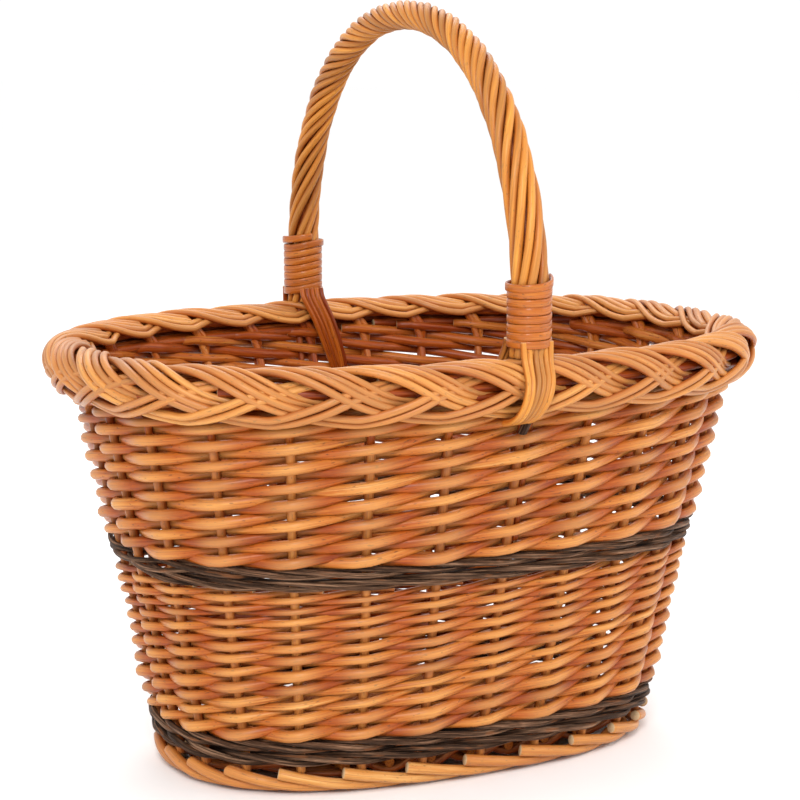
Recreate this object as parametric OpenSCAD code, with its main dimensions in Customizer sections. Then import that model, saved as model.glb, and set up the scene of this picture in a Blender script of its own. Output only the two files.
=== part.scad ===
// Oval willow market basket with a roped bow handle, two bands of dark unpeeled willow and a plaited border.
// It stands upright on its foot: +Z up, X along the basket, Y across it, origin on the floor under its middle.
// Places on the wall are given as (i, z, off): i counts stakes to the right seen from outside, z is the
// height, and off is the distance outwards from the line of the stakes.

/* [Basket] */
// Length over the plaited border
border_l = 450; // [400:5:500]
// Width over the plaited border
border_w = 331; // [290:2:370]
// Length of the wall at the floor
foot_l = 323; // [290:1:360]
// Width of the wall at the floor
foot_w = 197; // [170:1:230]
// Height of the middle of the border
border_z = 249; // [240:1:258]
// Squareness of the oval, where 2 is a true ellipse
oval_n = 2.4; // [2:0.1:2.8]
// Extra room between the stakes along the sides at the foot, in degrees
foot_spread = 3; // [0:0.5:6]

/* [Stakes] */
// Number of side stakes, so that one stands at the middle of each long side
stake_n = 26; // [22:4:30]
// Thickness of a side stake
stake_d = 4.8; // [4:0.2:5.6]
// How far the stakes crowd towards the back left, in stake spaces
stake_crowd = 0.32; // [0:0.02:0.4]
// Height at which the stakes leave the foot
stake_low = 13.5; // [13:0.5:16]
// Height at which the stakes bend into the border
stake_high = 233; // [228:1:236]

/* [Weave] */
// Rounds of weaving between the two dark bands
lower_n = 11; // [8:1:12]
// Rounds of weaving above the middle dark band
upper_n = 8; // [6:1:9]
// Strands in each dark band
band_n = 4; // [3:1:5]
// Bottom of the lower dark band
low_band_z = 18; // [17:0.5:20]
// Top of the lower dark band
low_band_top = 35.5; // [34:0.5:38]
// Bottom of the middle dark band
mid_band_z = 129; // [124:0.5:132]
// Top of the middle dark band
mid_band_top = 144.5; // [142:0.5:148]
// Rod thickness as a share of the height of one round
rod_share = 0.55; // [0.45:0.01:0.6]

/* [Base] */
// Thickness of the base sticks
base_stick_d = 6; // [5:0.5:7]
// Thickness of the base weaving
base_rod_d = 3.2; // [2.6:0.2:3.4]
// Height of the middle of the base
base_z = 13; // [13:0.5:15]
// Long sticks that run through the cross sticks
long_stick_n = 3; // [2:1:4]
// Cross sticks
cross_stick_n = 7; // [5:2:9]

/* [Foot] */
// Thickness of the rods that make the foot
foot_rod_d = 7; // [6:0.5:7.5]

/* [Border] */
// Thickness of one border strand
border_rod_d = 7.4; // [6:0.2:7.6]
// How far the strands swing across the plait, each way
border_swing = 13.6; // [10:0.2:14]
// How far the strands pass over and under each other
border_lift = 5; // [4.4:0.1:5.6]

/* [Handle] */
// Half the distance between the two legs, middle to middle
handle_half = 150.3; // [146:0.5:154]
// Height at which the legs begin to curve
handle_spring = 291; // [285:1:300]
// Rise of the curved part
handle_rise = 164; // [130:1:190]
// Squareness of the curved part, where 2 is an ellipse
handle_n = 2.12; // [2:0.02:2.4]
// Thickness of the inner bow rod
bow_d = 13; // [11:0.5:14]
// Rods twisted round the bow
strand_n = 9; // [7:1:10]
// Thickness of a twisted rod
strand_d = 5; // [3.6:0.1:5.2]
// Turns that each rod makes from one foot of the handle to the other
strand_turns = 2.4; // [0.5:0.1:2.8]

/* [Bindings] */
// Height of the lowest turn
binding_z = 270; // [269:0.5:274]
// Turns of the binding
binding_turns = 8; // [6:1:9]
// Width of one turn
binding_step = 4.6; // [4:0.2:5]
// Thickness of the binding
binding_t = 2.2; // [1.8:0.2:2.6]

/* [Tails] */
// Strand ends brought down over the outside of the border at each foot of the handle
outer_tails = 6; // [4:1:6]
// Strand ends brought down inside the border at each foot of the handle
inner_tails = 5; // [3:1:5]
// Thickness of a strand end
tail_d = 3.4; // [2.8:0.2:3.6]

/* [Hidden] */
slack = 0.2;
border_overhang = 19.5;
foot_overhang = 8;
top_a = border_l / 2 - border_overhang;
top_b = border_w / 2 - border_overhang;
foot_a = foot_l / 2 - foot_overhang;
foot_b = foot_w / 2 - foot_overhang;
rod_sides = 5;
bay_points = 3;

low_pitch_mean = (mid_band_z - low_band_top) / lower_n;
low_pitch_change = 0.25 * low_pitch_mean;
up_pitch = (stake_high + 1.5 - mid_band_top) / upper_n;
low_band_step = (low_band_top - low_band_z) / band_n;
mid_band_step = (mid_band_top - mid_band_z) / band_n;

willow = [0.72, 0.40, 0.15];
pale_willow = [0.80, 0.50, 0.22];
deep_willow = [0.58, 0.28, 0.09];
bark = [0.24, 0.19, 0.15];

// ---- the oval wall ----

function signed_pow(v, e) = sign(v) * pow(abs(v), e);
function oval(a, b, t) = [a * signed_pow(cos(t), 2 / oval_n), b * signed_pow(sin(t), 2 / oval_n)];

// The rim's outline walked in steps of one degree, so that the stakes can stand at equal distances along it
rim_walk = [for (t = [0:1:360]) oval(top_a, top_b, t)];
rim_steps = [for (t = [0:1:359]) norm(rim_walk[t + 1] - rim_walk[t])];
rim_lengths = [for (t = 0, s = 0; t <= 360; s = s + (t < 360 ? rim_steps[t] : 0), t = t + 1) [s, t]];
rim_total = rim_lengths[360][0];

// The stakes are furthest apart a little left of the middle of the front
widest_i = 18.6;
function stake_share(i) = (i + 0.5 + stake_crowd * sin(360 * (i - widest_i) / stake_n)) / stake_n;
function stake_angle(i) = let (u = stake_share(i)) lookup((u - floor(u)) * rim_total, rim_lengths);

function stake_line(i, z) =
    let (t = stake_angle(i))
    let (low = oval(foot_a, foot_b, t - foot_spread * sin(2 * t)))
    let (high = oval(top_a, top_b, t))
    low + (high - low) * z / border_z;

function outward(i, z) =
    let (d = stake_line(i + 0.2, z) - stake_line(i - 0.2, z))
    [d.y, -d.x] / norm(d);

function on_wall(i, z, off) = stake_line(i, z) + off * outward(i, z);
function wall_point(i, z, off) = let (p = on_wall(i, z, off)) [p.x, p.y, z];

// ---- rods ----

function unit(v) = v / norm(v);

// A round rod from p to q
module rod(p, q, d) {
    v = q - p;
    translate(p)
        rotate([0, acos(v.z / norm(v)), atan2(v.y, v.x)])
            cylinder(d = d, h = norm(v), $fn = 24);
}

function section(p, along, ref, r) =
    let (side = unit(cross(along, ref)))
    let (up = unit(cross(along, side)))
    [for (k = [0:rod_sides - 1]) p + r * (cos(360 * k / rod_sides) * side + sin(360 * k / rod_sides) * up)];

// A bent rod along a path. refs are directions that are never along the path, and radii may vary
module bent_rod(path, refs, radii) {
    n = len(path);
    last = n - 1;
    rings = [for (j = [0:last])
        section(path[j], path[min(j + 1, last)] - path[max(j - 1, 0)], refs[j], radii[j])];
    sides = [for (j = [0:last - 1], k = [0:rod_sides - 1])
        let (a = j * rod_sides + k)
        let (b = j * rod_sides + (k + 1) % rod_sides)
        each [[a, a + rod_sides, b + rod_sides], [a, b + rod_sides, b]]];
    low_end = [for (k = [0:rod_sides - 1]) k];
    high_end = [for (k = [rod_sides - 1:-1:0]) last * rod_sides + k];
    polyhedron([for (r = rings) each r], concat([low_end, high_end], sides), convexity = 8);
}

// ---- woven rounds ----

// How far in front of the stakes a plain weaving rod is: it passes them turn and turn about
function plain_wave(i, phase) = cos(180 * (i + phase));

// A band strand passes in front of two stakes and behind one
function band_side(i, phase) = ((floor(i) % stake_n + stake_n) % stake_n + phase) % 3 == 0 ? -1 : 1;
function band_wave(i, phase) =
    let (part = i - floor(i))
    let (mix = (1 - cos(180 * part)) / 2)
    band_side(i, phase) * (1 - mix) + band_side(i + 1, phase) * mix;

// One round as a flat ring whose outline swings to the front and back of the stakes
module woven_ring(z, h, d, waves) {
    m = stake_n * bay_points;
    swing = stake_d / 2 + d / 2 + slack;
    outer = [for (j = [0:m - 1]) on_wall(j / bay_points, z, swing * waves[j] + d / 2)];
    inner = [for (j = [0:m - 1]) on_wall(j / bay_points, z, swing * waves[j] - d / 2)];
    translate([0, 0, z - h / 2])
        linear_extrude(h)
            difference() {
                polygon(outer);
                polygon(inner);
            }
}

// A round of plain weaving is two rods, one in front of the even stakes and one in front of the odd ones
module weave_round(z, pitch) {
    h = pitch / 2 - slack;
    m = stake_n * bay_points;
    for (phase = [0, 1])
        woven_ring(z + (phase - 0.5) * pitch / 2, h, rod_share * pitch,
            [for (j = [0:m - 1]) plain_wave(j / bay_points, phase)]);
}

function low_pitch(k) = low_pitch_mean + low_pitch_change * (1 - 2 * (k - 1) / (lower_n - 1));
function low_round_z(k) =
    k == 1 ? low_band_top + low_pitch(1) / 2 : low_round_z(k - 1) + (low_pitch(k - 1) + low_pitch(k)) / 2;

module lower_weave(k) color(willow) weave_round(low_round_z(k), low_pitch(k));
module upper_weave(k) color(willow) weave_round(mid_band_top + (k - 0.5) * up_pitch, up_pitch);

module band_strand(z, step, phase) {
    m = stake_n * bay_points;
    woven_ring(z, step - slack, step - slack, [for (j = [0:m - 1]) band_wave(j / bay_points, phase)]);
}

module lower_band_strand(k) color(bark) band_strand(low_band_z + (k - 0.5) * low_band_step, low_band_step, k % 3);
module middle_band_strand(k) color(bark) band_strand(mid_band_z + (k - 0.5) * mid_band_step, mid_band_step, k % 3);

// ---- base ----

base_clear = 8.5;
base_a = foot_a + (top_a - foot_a) * base_z / border_z - base_clear;
base_b = foot_b + (top_b - foot_b) * base_z / border_z - base_clear;
long_stick_gap = 1.5 * base_stick_d;
cross_stick_gap = 2 * (base_a - base_b) / (cross_stick_n - 1) + base_stick_d;
base_step = base_rod_d + 2;
base_rings = floor((base_b - long_stick_n * long_stick_gap / 2) / base_step);

// Half the length of a base stick at a distance from the middle, along or across the oval
function reach(half, other, distance) = half * pow(1 - pow(abs(distance) / other, oval_n), 1 / oval_n);

module base_long_sticks() color(pale_willow)
    for (k = [0:long_stick_n - 1]) {
        y = (k - (long_stick_n - 1) / 2) * long_stick_gap;
        x = reach(base_a, base_b, y);
        translate([-x, y, base_z])
            rotate([0, 90, 0])
                cylinder(d = base_stick_d, h = 2 * x, $fn = 24);
    }

// The cross sticks are swollen at the middle, where a slot lets the long sticks through
module base_cross_sticks() color(pale_willow) {
    slot_w = long_stick_n * long_stick_gap + 1;
    boss_d = base_stick_d + 5;
    boss_h = slot_w + 5;
    for (k = [0:cross_stick_n - 1]) {
        x = (k - (cross_stick_n - 1) / 2) * cross_stick_gap;
        y = reach(base_b, base_a, x);
        difference() {
            translate([x, 0, base_z])
                rotate([90, 0, 0])
                    union() {
                        cylinder(d = base_stick_d, h = 2 * y, center = true, $fn = 24);
                        cylinder(d = boss_d, h = boss_h, center = true, $fn = 24);
                    }
            translate([x, 0, base_z])
                cube([boss_d + 1, slot_w, base_stick_d + slack], center = true);
        }
    }
}

module base_ring(k, z) {
    a = base_a - k * base_step;
    b = base_b - k * base_step;
    translate([0, 0, z - base_rod_d / 2])
        linear_extrude(base_rod_d)
            difference() {
                polygon([for (t = [0:10:350]) oval(a, b, t)]);
                polygon([for (t = [0:10:350]) oval(a - base_rod_d, b - base_rod_d, t)]);
            }
}

base_weave_z = base_stick_d / 2 + base_rod_d / 2 + slack;
module base_weave(z) color(willow) for (k = [0:base_rings - 1]) base_ring(k, z);
module base_weave_over() base_weave(base_z + base_weave_z);
module base_weave_under() base_weave(base_z - base_weave_z);

// ---- foot ----

// Each foot rod starts as a cut butt outside the wall and runs right, down and under the next one.
// Its underside is worn flat where it stands on the floor.
foot_start = 0.66;
foot_bays = 1.35;
foot_butt_z = 12;
foot_tip_z = 2.6;
module foot_border() color(pale_willow)
    for (i = [0:stake_n - 1]) {
        butt = wall_point(i + foot_start, foot_butt_z, 4.2);
        tip = wall_point(i + foot_start + foot_bays, foot_tip_z, -6);
        difference() {
            rod(butt, tip, foot_rod_d);
            translate([tip.x - 50, tip.y - 50, -10])
                cube([100, 100, 10]);
        }
    }

// ---- stakes and border ----

module side_stakes() color(willow)
    for (i = [0:stake_n - 1])
        rod(wall_point(i, stake_low, 0), wall_point(i, stake_high, 0), stake_d);

// The border is a plait of three strands that lies over the wall's edge, one stake end to each strand.
// across runs over the plait from its outer lower edge to its inner upper edge, proud runs out of its face
border_off = 4.6;
border_bays = 3;
border_points = 11;
function border_point(i, s) =
    let (across = border_swing * cos(360 * s))
    let (proud = border_lift * sin(720 * s))
    let (off = border_off + (proud - across) * sqrt(0.5))
    let (z = border_z + (proud + across) * sqrt(0.5))
    let (p = stake_line(i + border_bays * s, border_z) + off * outward(i + border_bays * s, border_z))
    [p.x, p.y, z];

module plaited_border() color(willow)
    for (i = [0:stake_n - 1]) {
        s = [for (j = [0:border_points]) 0.01 + 0.97 * j / border_points];
        path = [for (v = s) border_point(i, v)];
        refs = [for (v = s) let (o = outward(i + border_bays * v, border_z)) [o.x, o.y, 1]];
        bent_rod(path, refs, [for (v = s) border_rod_d / 2]);
    }

// ---- handle, drawn for the front leg at -Y and for the arch from front to back ----

leg_low = 266;
arch_points = 40;
leg_points = 2;
tongue_d = 4.6;
tongue_x = 6.2;
tongue_low = 152;

// The bow's line as [y, z], with t from -1 at the foot of the front leg to 1 at the foot of the back leg
function arch_line(t) =
    abs(t) > 0.9
        ? [sign(t) * handle_half, handle_spring - (abs(t) - 0.9) / 0.1 * (handle_spring - leg_low)]
        : [handle_half * signed_pow(sin(100 * t), 2 / handle_n),
            handle_spring + handle_rise * signed_pow(cos(100 * t), 2 / handle_n)];
arch_steps = concat(
    [for (j = [leg_points:-1:1]) -0.9 - 0.1 * j / leg_points],
    [for (j = [0:arch_points]) -0.9 + 1.8 * j / arch_points],
    [for (j = [1:leg_points]) 0.9 + 0.1 * j / leg_points]
);
arch_path = [for (t = arch_steps) let (p = arch_line(t)) [0, p[0], p[1]]];
arch_last = len(arch_path) - 1;
arch_tangents = [for (j = [0:arch_last])
    unit(arch_path[min(j + 1, arch_last)] - arch_path[max(j - 1, 0)])];
arch_lengths = [for (j = 0, s = 0; j <= arch_last;
    s = s + (j < arch_last ? norm(arch_path[j + 1] - arch_path[j]) : 0), j = j + 1) s];
arch_length = arch_lengths[arch_last];

// The bow's two ends are sliced thin and pushed down the wall beside the middle stakes
function tongue_point(side, z) = [tongue_x * -side, side * abs(wall_point((stake_n / 2 - 1) / 2, z, 0).y), z];
function tongue(side, order) = [for (z = order) tongue_point(side, z)];

module handle_bow() color(deep_willow) {
    rise = [tongue_low, 190, 230, 254];
    fall = [254, 230, 190, tongue_low];
    path = concat(tongue(-1, rise), arch_path, tongue(1, fall));
    thin = [for (z = rise) tongue_d / 2];
    refs = [for (p = path) [1, 0, 0]];
    bent_rod(path, refs, concat(thin, [for (p = arch_path) bow_d / 2], thin));
}

strand_ring = bow_d / 2 + strand_d / 2 + slack;
module handle_strands() color(pale_willow)
    for (k = [0:strand_n - 1]) {
        path = [for (j = [0:arch_last])
            let (turn = 360 * (k / strand_n + strand_turns * arch_lengths[j] / arch_length))
            let (over = cross(arch_tangents[j], [1, 0, 0]))
            arch_path[j] + strand_ring * (cos(turn) * [1, 0, 0] + sin(turn) * over)];
        refs = [for (j = [0:arch_last]) path[j] - arch_path[j]];
        bent_rod(path, refs, [for (p = path) strand_d / 2]);
    }

binding_r = strand_ring + strand_d / 2 + slack;
module binding(side) color(pale_willow)
    translate([0, side * handle_half, binding_z])
        rotate_extrude($fn = 48)
            union() {
                translate([binding_r, 0])
                    square([0.5 * binding_t, (binding_turns - 1) * binding_step]);
                for (k = [0:binding_turns - 1])
                    translate([binding_r, (k - 0.5) * binding_step + slack])
                        square([binding_t, binding_step - 2 * slack]);
            }

// Turns a piece drawn at the front leg to the back leg
module at_leg(side) rotate([0, 0, side < 0 ? 0 : 180]) children();

leg_line = top_b;
function tail_path(x, shift, stations) =
    [for (s = stations) [x + shift * s[2], -(leg_line + s[0]), s[1]]];

// Stations are [distance out from the stakes, height, share of the sideways shift]
outer_stations = [[17.4, 268, 0], [20, 263, 0.02], [23, 257, 0.06], [23.6, 250, 0.15],
    [23.2, 243, 0.32], [20.5, 236, 0.55], [16, 231, 0.78], [11.5, 228, 1]];
inner_stations = [[-10.5, 268, 0], [-12.4, 262, 0.1], [-14, 253, 0.3], [-14.4, 243, 0.5],
    [-14.4, 232, 0.7], [-13.6, 222, 0.88], [-12.6, 214, 1]];
tail_gap = tail_d + slack;

module outer_tail_set(side) color(willow)
    at_leg(side)
        for (k = [0:outer_tails - 1]) {
            path = tail_path((k - (outer_tails - 1) / 2) * tail_gap, -12, outer_stations);
            bent_rod(path, [for (p = path) [1, 0, 0]], [for (p = path) tail_d / 2]);
        }

module inner_tail_set(side) color(willow)
    at_leg(side)
        for (k = [0:inner_tails - 1]) {
            path = tail_path((k - (inner_tails - 1) / 2) * tail_gap, -20, inner_stations);
            bent_rod(path, [for (p = path) [1, 0, 0]], [for (p = path) tail_d / 2]);
        }

// A short peg beside the stake keeps the bow from pulling out
module handle_peg(side) color(bark)
    at_leg(side)
        rod([-7, -(leg_line + 9.5), 221], [-3, -(leg_line + 12), 231], 4);

base_long_sticks();
base_cross_sticks();
base_weave_over();
base_weave_under();
foot_border();
side_stakes();
for (k = [1:band_n]) lower_band_strand(k);
for (k = [1:lower_n]) lower_weave(k);
for (k = [1:band_n]) middle_band_strand(k);
for (k = [1:upper_n]) upper_weave(k);
plaited_border();
handle_bow();
handle_strands();
binding(-1);  // front_binding
binding(1);  // back_binding
outer_tail_set(-1);  // front_outer_tails
outer_tail_set(1);  // back_outer_tails
inner_tail_set(-1);  // front_inner_tails
inner_tail_set(1);  // back_inner_tails
handle_peg(-1);  // front_handle_peg
handle_peg(1);  // back_handle_peg
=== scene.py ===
import math

import bpy
import numpy as np
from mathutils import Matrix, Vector


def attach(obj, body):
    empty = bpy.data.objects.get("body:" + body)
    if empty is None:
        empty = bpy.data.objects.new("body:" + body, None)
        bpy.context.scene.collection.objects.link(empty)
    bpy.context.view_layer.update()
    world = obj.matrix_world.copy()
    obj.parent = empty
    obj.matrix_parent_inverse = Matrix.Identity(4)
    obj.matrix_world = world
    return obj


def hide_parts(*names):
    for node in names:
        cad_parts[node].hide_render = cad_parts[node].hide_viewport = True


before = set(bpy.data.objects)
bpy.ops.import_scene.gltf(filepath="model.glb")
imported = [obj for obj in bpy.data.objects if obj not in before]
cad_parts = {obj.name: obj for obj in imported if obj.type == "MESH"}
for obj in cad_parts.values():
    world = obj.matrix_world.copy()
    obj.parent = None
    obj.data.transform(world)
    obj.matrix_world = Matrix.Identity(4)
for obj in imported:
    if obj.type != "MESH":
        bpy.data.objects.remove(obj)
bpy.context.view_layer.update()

rng = np.random.default_rng(29)      # every random draw comes from here, in order
mm = 0.001                           # lengths below are in millimetres unless a note says metres
fullTurn = 2 * math.pi
upward = np.array([0.0, 0.0, 1.0])
print("frame loaded,", len(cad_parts), "nodes")


# curves and small sums

def unit(v):
    return v / np.linalg.norm(v, axis=-1, keepdims=True)


def smooth(x):
    x = np.clip(x, 0, 1)
    return x * x * (3 - 2 * x)


def lengthsAlong(path):              # from its start to each of its points
    return np.concatenate([[0], np.cumsum(np.linalg.norm(np.diff(path, axis=0), axis=1))])


def cubic(a, b, c, d, f):            # from b to c, led by a and d
    bend = (2 * a - 5 * b + 4 * c - d) * f ** 2 + (3 * b - a - 3 * c + d) * f ** 3
    return 0.5 * (2 * b + (c - a) * f + bend)


def through(stations, share):        # a smooth line through the stations, walked from 0 to 1
    stations = np.asarray(stations, float)
    last = len(stations) - 1
    before, after = 2 * stations[0] - stations[1], 2 * stations[-1] - stations[-2]
    padded = np.vstack([before, stations, after])
    place = np.clip(share, 0, 1) * last
    k = np.minimum(place.astype(int), last - 1)
    return cubic(padded[k], padded[k + 1], padded[k + 2], padded[k + 3], (place - k)[:, None])


def aroundKeys(keys, x):             # the same through keys that repeat, walked in key steps
    keys = np.asarray(keys, float)
    k = np.floor(x).astype(int)
    near = [keys[(k + j) % len(keys)] for j in (-1, 0, 1, 2)]
    return cubic(*near, x - k)


driftWaves = ((1.0, 1.0), (1.83, 0.6), (3.1, 0.35))      # pace and size of each
driftScale = 1.4


def drift(u, size, pace):            # a slow wander of about plus or minus size, new at every call
    phases = rng.uniform(0, fullTurn, len(driftWaves))
    waves = sum(share * np.sin(quick * u * pace + phase) for (quick, share), phase in zip(driftWaves, phases))
    return size * waves / driftScale


# the oval wall: a place on it is (i, z, off), with i counting stakes to the right seen from outside

wall = {
    "stakes": 26,
    "squareness": 2.4,               # 2 is a true ellipse
    "footSpread": 3.0,               # degrees, opens the stakes along the sides at the foot
    "rimHalf": (205.5, 146.0),       # half length and half width of the stakes' line at the rim
    "footHalf": (153.5, 90.5),
    "rimZ": 249.0,
    "stakeRadius": 2.8,
    "crowd": 0.32,                   # stake spaces by which stakes crowd away from the widest place
    "widestAt": 18.6,
    "probe": 0.3,                    # stake spaces each way over which the wall's direction is taken
}


def oval(half, degrees):
    t = np.radians(degrees)
    power = 2 / wall["squareness"]
    x = half[0] * np.sign(np.cos(t)) * np.abs(np.cos(t)) ** power
    y = half[1] * np.sign(np.sin(t)) * np.abs(np.sin(t)) ** power
    return np.stack([x, y], -1)


rimDegrees = np.linspace(0, 360, 4 * 360 + 1)
rimLengths = lengthsAlong(oval(wall["rimHalf"], rimDegrees))
bayLength = rimLengths[-1] / wall["stakes"]


def stakeLine(i, z):
    i = np.asarray(i, float)
    crowd = wall["crowd"] * np.sin(fullTurn * (i - wall["widestAt"]) / wall["stakes"])
    u = ((i + 0.5 + crowd) / wall["stakes"]) % 1
    t = np.interp(u * rimLengths[-1], rimLengths, rimDegrees)
    low = oval(wall["footHalf"], t - wall["footSpread"] * np.sin(np.radians(2 * t)))
    high = oval(wall["rimHalf"], t)
    return low + (high - low) * (np.asarray(z, float) / wall["rimZ"])[..., None]


def outward(i, z):
    d = stakeLine(i + wall["probe"], z) - stakeLine(i - wall["probe"], z)
    flat = unit(np.stack([d[..., 1], -d[..., 0]], -1))
    return np.concatenate([flat, np.zeros(flat.shape[:-1] + (1,))], -1)


def wallPoints(i, z, off):
    line = np.concatenate([stakeLine(i, z), np.asarray(z, float)[..., None]], -1)
    return line + np.asarray(off, float)[..., None] * outward(i, z)


# rods swept along paths and gathered into one mesh

cutEnd = {"chamfer": 0.16, "shrink": 0.84}       # shares of the rod's radius
grainShift = 400.0                               # millimetres, so that no two rods share their grain
proudSides = 0.35                                # how proud a rod's sides are, where its crest is 1: painted highlight on the crest, painted shade on the far side


class Bundle:
    def __init__(self, name, sides):
        self.name, self.sides = name, sides
        self.points, self.quads, self.tris = [], [], []
        self.grain, self.tint, self.proud, self.cut = [], [], [], []
        self.count = 0

    def rod(self, path, refs, radii, tint=None, flat=(1, 1), square=1.0, slant=(0, 0), proud=1.0):
        # flat scales the section sideways and along refs, slant leans the two cut ends, proud sets how much
        # painted highlight and how little painted shade the rod gets
        n, m = len(path), self.sides
        path, refs = np.asarray(path, float), np.broadcast_to(refs, (n, 3))
        radii = np.broadcast_to(radii, (n,))
        proud = np.broadcast_to(proud, (n,))
        along = unit(np.gradient(path, axis=0))
        tip = cutEnd["chamfer"]
        path = np.vstack([path[0] - along[0] * radii[0] * tip, path, path[-1] + along[-1] * radii[-1] * tip])
        along, refs = np.vstack([along[0], along, along[-1]]), np.vstack([refs[0], refs, refs[-1]])
        shrink = cutEnd["shrink"]
        radii = np.concatenate([[radii[0] * shrink], radii, [radii[-1] * shrink]])
        proud = np.concatenate([[proud[0]], proud, [proud[-1]]])
        side = unit(np.cross(along, refs))
        up = np.cross(side, along)
        angles = np.arange(m) * fullTurn / m
        c = np.sign(np.cos(angles)) * np.abs(np.cos(angles)) ** square
        s = np.sign(np.sin(angles)) * np.abs(np.sin(angles)) ** square
        ring = flat[0] * c[None, :, None] * side[:, None] + flat[1] * s[None, :, None] * up[:, None]
        points = path[:, None] + radii[:, None, None] * ring
        for j, lean in ((0, slant[0]), (1, slant[0]), (-2, slant[1]), (-1, slant[1])):
            points[j] += along[j] * (lean * radii[j] * s)[:, None]
        middles = points[[0, -1]].mean(axis=1)
        rings = n + 2
        base = self.count
        k = np.arange(m)
        here = base + np.arange(rings - 1)[:, None] * m
        following = (k + 1) % m
        quads = np.stack([here + k, here + m + k, here + m + following, here + following], -1)
        first, last = base + rings * m, base + rings * m + 1
        top = base + (rings - 1) * m
        ends = [np.stack([np.full(m, first), base + k, base + following], -1)]
        ends.append(np.stack([np.full(m, last), top + following, top + k], -1))
        walked = lengthsAlong(path)
        shift = rng.uniform(-grainShift, grainShift, 3)
        grain = np.empty((rings, m, 3))
        grain[..., 0] = walked[:, None]
        grain[..., 1], grain[..., 2] = radii[:, None] * c, radii[:, None] * s
        grain = np.vstack([grain.reshape(-1, 3), [[walked[0], 0, 0], [walked[-1], 0, 0]]]) + shift
        cut = np.zeros((rings, m))
        cut[[0, -1]] = 1
        # mask for painted light: the crest, facing along refs, gets painted highlight and the far side
        # painted shade, scaled by proud
        litAndWornMask = proud[:, None] * np.clip(proudSides + (1 - proudSides) * s, 0, 1)
        tint = rng.uniform() if tint is None else tint
        self.points.append(np.vstack([points.reshape(-1, 3), middles]))
        self.quads.append(quads.reshape(-1, 4))
        self.tris += ends
        self.grain.append(grain)
        self.cut.append(np.concatenate([cut.ravel(), [1, 1]]))
        self.proud.append(np.concatenate([litAndWornMask.ravel(), [0, 0]]))
        self.tint.append(np.full(rings * m + 2, tint))
        self.count += rings * m + 2

    def piece(self, finish, slot, *nodes):
        points = np.vstack(self.points) * mm
        quads, tris = np.vstack(self.quads), np.vstack(self.tris)
        starts = np.concatenate([np.arange(len(quads)) * 4, len(quads) * 4 + np.arange(len(tris)) * 3])
        corners = np.concatenate([quads.ravel(), tris.ravel()])
        mesh = bpy.data.meshes.new(self.name)
        mesh.vertices.add(len(points))
        mesh.vertices.foreach_set("co", points.ravel())
        mesh.loops.add(len(corners))
        mesh.loops.foreach_set("vertex_index", corners.astype(np.int32))
        mesh.polygons.add(len(starts))
        mesh.polygons.foreach_set("loop_start", starts.astype(np.int32))
        mesh.polygons.foreach_set("use_smooth", np.ones(len(starts), bool))
        mesh.update(calc_edges=True)
        grain = mesh.attributes.new("grain", "FLOAT_VECTOR", "POINT")
        grain.data.foreach_set("vector", np.vstack(self.grain).ravel())
        # proud carries the mask for painted highlight and painted shade
        for name in ("tint", "proud", "cut"):
            values = mesh.attributes.new(name, "FLOAT", "POINT")
            values.data.foreach_set("value", np.concatenate(getattr(self, name)))
        mesh.materials.append(finish)
        piece = bpy.data.objects.new(self.name, mesh)
        bpy.context.scene.collection.objects.link(piece)
        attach(piece, "root")
        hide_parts(*nodes)
        print("  made", self.name, len(starts), "faces")
        return piece


# shader nodes: a Wire is one output socket, and sums on wires are written as plain expressions

noiseRoughness = 0.6


class Wire:
    def __init__(self, finish, socket):
        self.finish, self.socket = finish, socket

    def sum(self, operation, *values):
        return self.finish.node("ShaderNodeMath", {"operation": operation}, dict(enumerate(values)))

    def __add__(self, other):
        return self.sum("ADD", self, other)

    def __mul__(self, other):
        return self.sum("MULTIPLY", self, other)

    def __sub__(self, other):
        return self.sum("SUBTRACT", self, other)

    def __rsub__(self, other):
        return self.sum("SUBTRACT", other, self)

    __radd__, __rmul__ = __add__, __mul__

    def clamped(self):
        return self.finish.node("ShaderNodeClamp", {}, {"Value": self})


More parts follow.
